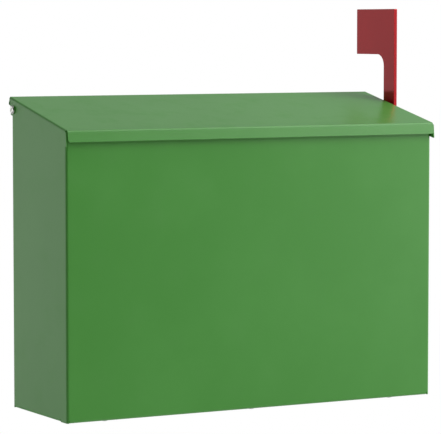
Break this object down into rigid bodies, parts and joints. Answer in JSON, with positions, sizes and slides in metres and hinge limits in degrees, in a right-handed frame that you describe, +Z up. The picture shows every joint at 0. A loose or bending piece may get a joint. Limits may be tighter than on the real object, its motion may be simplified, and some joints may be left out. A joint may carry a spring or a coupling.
{
  "type": "wall mounted mailbox",
  "caption": "Folded sheet-steel letter box for a wall, with a sloping lid hinged at the rear, a signal flag on its right side and stand-off rails behind.",
  "frame": {"origin": "middle of the upper rail's wall face, on the wall plane", "axes": "+Z up, +Y into the wall, the front panel faces -Y and the flag is on +X"},
  "size_m": [0.4171, 0.1547, 0.3864],
  "materials": {
    "green_coat": "semi-gloss powder coat on steel",
    "red_coat": "glossy red paint on aluminium plate",
    "bright_steel": "nickel-plated steel screw heads",
    "zinc_steel": "zinc-plated steel",
    "rivet_aluminium": "plain blind rivets",
    "white_nylon": "natural nylon",
    "bumper_rubber": "black rubber"
  },
  "bodies": {
    "box": {"body_shell": "green_coat", "back_panel": "green_coat", "floor_panel": "green_coat", "upper_wall_rail": "green_coat", "lower_wall_rail": "green_coat", "back_rivet_left_1": "rivet_aluminium", "back_rivet_left_2": "rivet_aluminium", "back_rivet_left_3": "rivet_aluminium", "back_rivet_right_1": "rivet_aluminium", "back_rivet_right_2": "rivet_aluminium", "back_rivet_right_3": "rivet_aluminium", "floor_rivet_front_1": "rivet_aluminium", "floor_rivet_front_2": "rivet_aluminium", "floor_rivet_front_3": "rivet_aluminium", "floor_rivet_rear_1": "rivet_aluminium", "floor_rivet_rear_2": "rivet_aluminium", "floor_rivet_rear_3": "rivet_aluminium", "floor_rivet_left": "rivet_aluminium", "floor_rivet_right": "rivet_aluminium", "upper_rail_rivet_1": "rivet_aluminium", "upper_rail_rivet_2": "rivet_aluminium", "upper_rail_rivet_3": "rivet_aluminium", "upper_rail_rivet_4": "rivet_aluminium", "lower_rail_rivet_1": "rivet_aluminium", "lower_rail_rivet_2": "rivet_aluminium", "lower_rail_rivet_3": "rivet_aluminium", "lower_rail_rivet_4": "rivet_aluminium", "lid_bumper_left": "bumper_rubber", "lid_bumper_right": "bumper_rubber", "lid_screw_left": "bright_steel", "lid_washer_left": "zinc_steel", "lid_nut_left": "zinc_steel", "lid_screw_right": "bright_steel", "lid_washer_right": "zinc_steel", "lid_nut_right": "zinc_steel", "flag_spacer": "white_nylon", "flag_spring_washer": "zinc_steel", "flag_screw": "bright_steel", "flag_washer": "zinc_steel", "flag_nut": "zinc_steel", "flag_stop_pin": "zinc_steel"},
    "lid": {"lid": "green_coat"},
    "flag": {"flag": "red_coat"}
  },
  "joints": [
    {"name": "lid_hinge", "type": "hinge", "parent": "box", "child": "lid", "pos_m": [0, -0.036, 0.052], "axis": [-1, 0, 0], "range_deg": [0, 70]},
    {"name": "flag_pivot", "type": "hinge", "parent": "box", "child": "flag", "pos_m": [0.2067, -0.0637, 0.01438], "axis": [1, 0, 0], "range_deg": [0, 180]}
  ]
}
